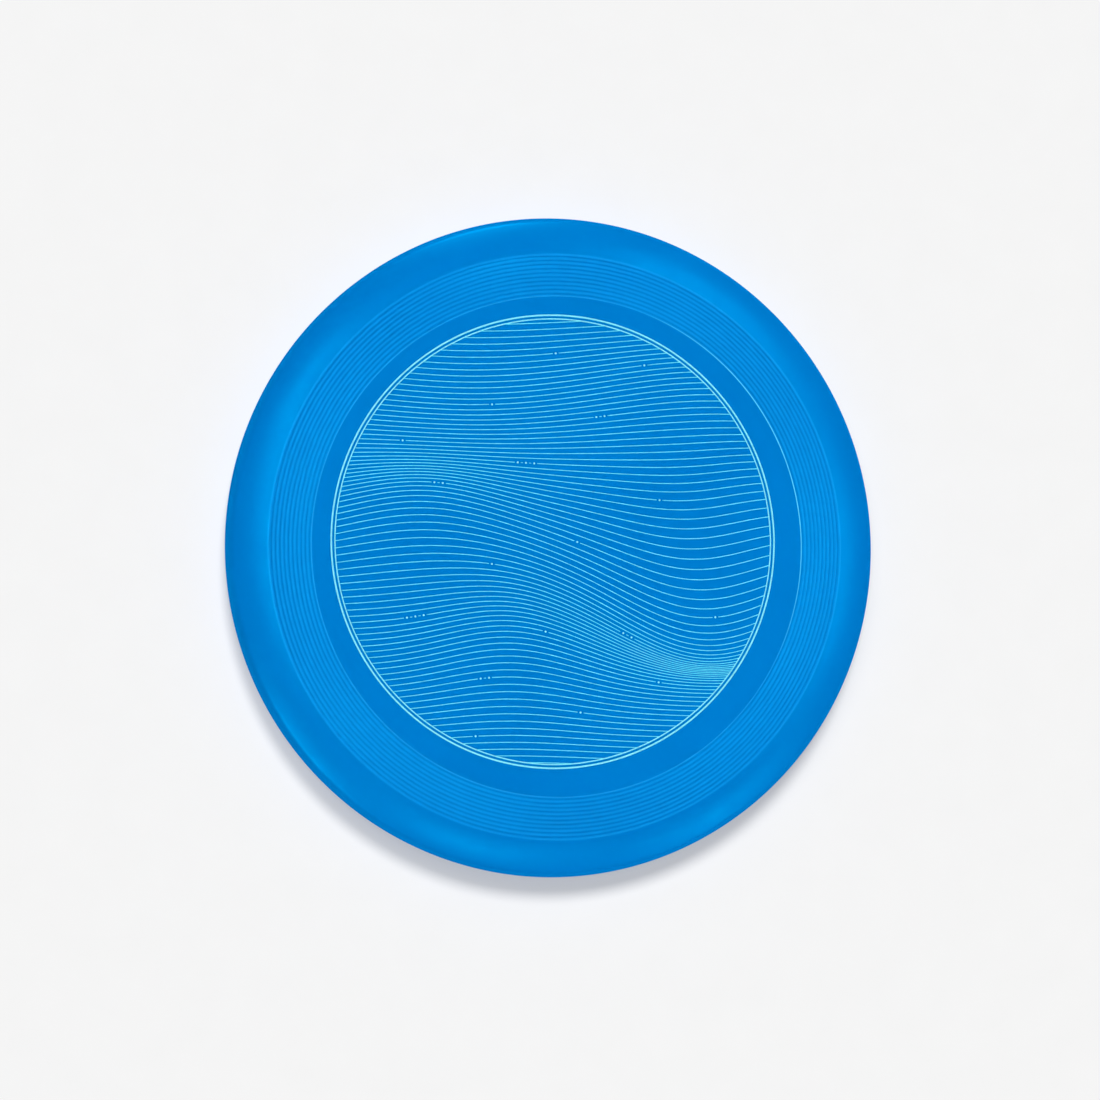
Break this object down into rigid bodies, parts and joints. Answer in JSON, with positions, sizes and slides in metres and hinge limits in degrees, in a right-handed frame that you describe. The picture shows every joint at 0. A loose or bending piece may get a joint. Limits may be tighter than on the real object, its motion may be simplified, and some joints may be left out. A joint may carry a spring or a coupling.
{
  "type": "flying disc",
  "caption": "One-piece moulded flying disc with a flat printed plate, a band of fine flight ridges, a rounded shoulder and a deep rim.",
  "frame": {"origin": "on the spin axis, in the plane of the rim's lip that the disc rests on", "axes": "+Z along the spin axis, out of the domed top; +X to the right of the print and +Y to the top of the print"},
  "size_m": [0.235, 0.235, 0.0251],
  "materials": {
    "moulded_plastic": "satin",
    "print_ink": "satin"
  },
  "bodies": {
    "root": {"disc_body": "moulded_plastic", "print_border_outer": "print_ink", "print_border_inner": "print_ink", "print_wave_lines": "print_ink", "print_dots": "print_ink"}
  },
  "joints": []
}
